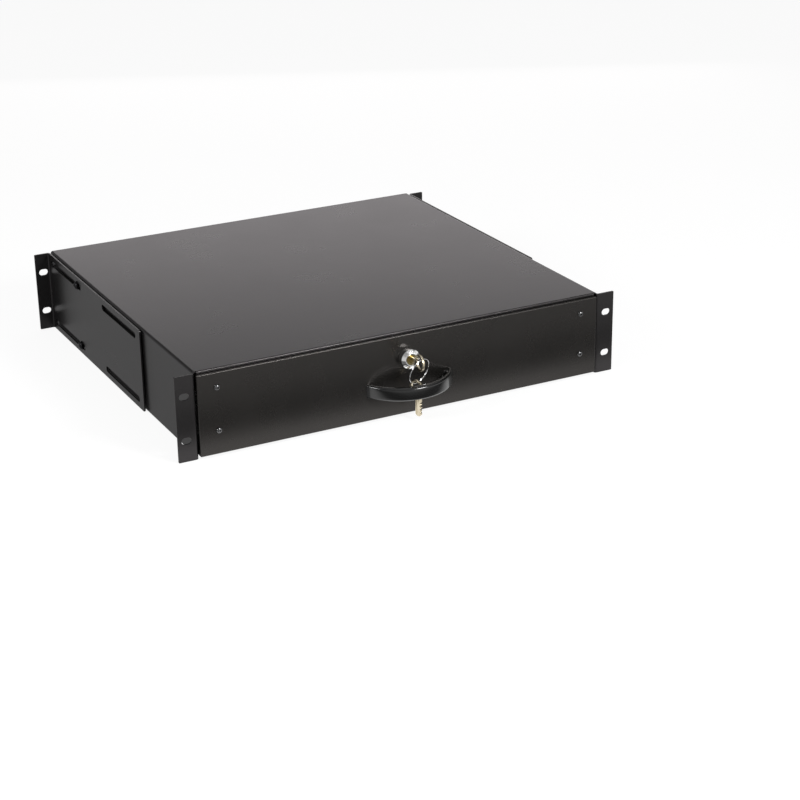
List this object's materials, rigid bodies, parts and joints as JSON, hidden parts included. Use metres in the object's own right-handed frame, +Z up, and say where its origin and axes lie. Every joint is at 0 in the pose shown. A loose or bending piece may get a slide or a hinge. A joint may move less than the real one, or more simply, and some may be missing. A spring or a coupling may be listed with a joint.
{
  "type": "sliding rack drawer",
  "caption": "Lockable rack-mount drawer: a casing with ears and adjustable rear brackets, and a tray that pulls out on telescopic ball-bearing slides.",
  "frame": {"origin": "centre of the four front ear slots, in the front plane of the ears", "axes": "+X to the right seen from the front, +Y to the rear, +Z up"},
  "size_m": [0.4826, 0.452, 0.0877],
  "materials": {
    "powder_coat": "black satin powder coat",
    "front_coat": "black satin powder coat",
    "zinc_hardware": "bright zinc plate",
    "zinc_steel": "zinc-plated sheet steel",
    "black_hardware": "black-plated steel",
    "front_screw_steel": "black nickel, polished",
    "handle_gloss": "moulded gloss black",
    "lock_chrome": "bright chrome",
    "plug_brass": "satin brass",
    "key_brass": "nickelled brass, worn",
    "ring_steel": "bright wire",
    "rail_steel": "zinc-plated rolled steel",
    "bumper_rubber": "black rubber",
    "cage_steel": "pressed steel",
    "ball_steel": "polished ball steel"
  },
  "bodies": {
    "casing": {"casing_shell": "powder_coat", "rear_panel": "powder_coat", "rear_panel_rivets": "zinc_hardware", "lock_strike": "zinc_steel", "left_outer_rail": "rail_steel", "right_outer_rail": "rail_steel", "outer_rail_rivets": "zinc_hardware", "left_rail_bumper": "bumper_rubber", "right_rail_bumper": "bumper_rubber", "bracket_screws": "black_hardware", "bracket_washers": "black_hardware", "bracket_spacers": "zinc_hardware", "bracket_nuts": "zinc_hardware"},
    "left_rear_bracket": {"left_bracket": "powder_coat"},
    "right_rear_bracket": {"right_bracket": "powder_coat"},
    "left_middle_member": {"left_middle_rail": "rail_steel"},
    "right_middle_member": {"right_middle_rail": "rail_steel"},
    "left_outer_ball_cage": {"left_outer_cage": "cage_steel", "left_outer_balls": "ball_steel"},
    "right_outer_ball_cage": {"right_outer_cage": "cage_steel", "right_outer_balls": "ball_steel"},
    "left_inner_ball_cage": {"left_inner_cage": "cage_steel", "left_inner_balls": "ball_steel"},
    "right_inner_ball_cage": {"right_inner_cage": "cage_steel", "right_inner_balls": "ball_steel"},
    "drawer": {"left_inner_rail": "rail_steel", "right_inner_rail": "rail_steel", "tray_rail_screws": "zinc_hardware", "drawer_tray": "powder_coat", "drawer_front": "front_coat", "front_screws": "front_screw_steel", "front_screw_nuts": "zinc_hardware", "handle": "handle_gloss", "handle_screws": "zinc_hardware", "lock_barrel": "lock_chrome", "lock_nut": "zinc_hardware"},
    "lock_cylinder": {"lock_plug": "plug_brass", "lock_cam": "zinc_steel", "cam_nut": "zinc_hardware", "key": "key_brass"},
    "ring": {"key_ring": "ring_steel"},
    "second_key": {"spare_key": "key_brass"}
  },
  "joints": [
    {"name": "drawer_slide", "type": "slide", "parent": "casing", "child": "drawer", "axis": [0, -1, 0], "range_m": [0, 0.39]},
    {"name": "left_middle_slide", "type": "slide", "parent": "casing", "child": "left_middle_member", "axis": [0, -1, 0], "range_m": [0, 0.195]},
    {"name": "left_outer_cage_slide", "type": "slide", "parent": "casing", "child": "left_outer_ball_cage", "axis": [0, -1, 0], "range_m": [0, 0.0975]},
    {"name": "left_inner_cage_slide", "type": "slide", "parent": "casing", "child": "left_inner_ball_cage", "axis": [0, -1, 0], "range_m": [0, 0.2925]},
    {"name": "left_bracket_slide", "type": "slide", "parent": "casing", "child": "left_rear_bracket", "axis": [0, 1, 0], "range_m": [-0.084, 0.009]},
    {"name": "right_middle_slide", "type": "slide", "parent": "casing", "child": "right_middle_member", "axis": [0, -1, 0], "range_m": [0, 0.195]},
    {"name": "right_outer_cage_slide", "type": "slide", "parent": "casing", "child": "right_outer_ball_cage", "axis": [0, -1, 0], "range_m": [0, 0.0975]},
    {"name": "right_inner_cage_slide", "type": "slide", "parent": "casing", "child": "right_inner_ball_cage", "axis": [0, -1, 0], "range_m": [0, 0.2925]},
    {"name": "right_bracket_slide", "type": "slide", "parent": "casing", "child": "right_rear_bracket", "axis": [0, 1, 0], "range_m": [-0.084, 0.009]},
    {"name": "lock_turn", "type": "hinge", "parent": "drawer", "child": "lock_cylinder", "pos_m": [0, -0.012, 0.01825], "axis": [0, -1, 0], "range_deg": [0, 90]},
    {"name": "key_ring_swing", "type": "hinge", "parent": "drawer", "child": "ring", "pos_m": [0, -0.02539, 0.02028], "axis": [1, 0, 0], "range_deg": [0, 3]},
    {"name": "spare_key_swing", "type": "hinge", "parent": "ring", "child": "second_key", "pos_m": [0.0025, -0.01666, -0.00375], "axis": [0.9311, 0.3649, 0], "range_deg": [-1, 5]}
  ],
  "couplings": [
    {"joint": "left_middle_slide", "follows": "drawer_slide", "ratio": 0.5},
    {"joint": "left_outer_cage_slide", "follows": "drawer_slide", "ratio": 0.25},
    {"joint": "left_inner_cage_slide", "follows": "drawer_slide", "ratio": 0.75},
    {"joint": "right_middle_slide", "follows": "drawer_slide", "ratio": 0.5},
    {"joint": "right_outer_cage_slide", "follows": "drawer_slide", "ratio": 0.25},
    {"joint": "right_inner_cage_slide", "follows": "drawer_slide", "ratio": 0.75}
  ]
}
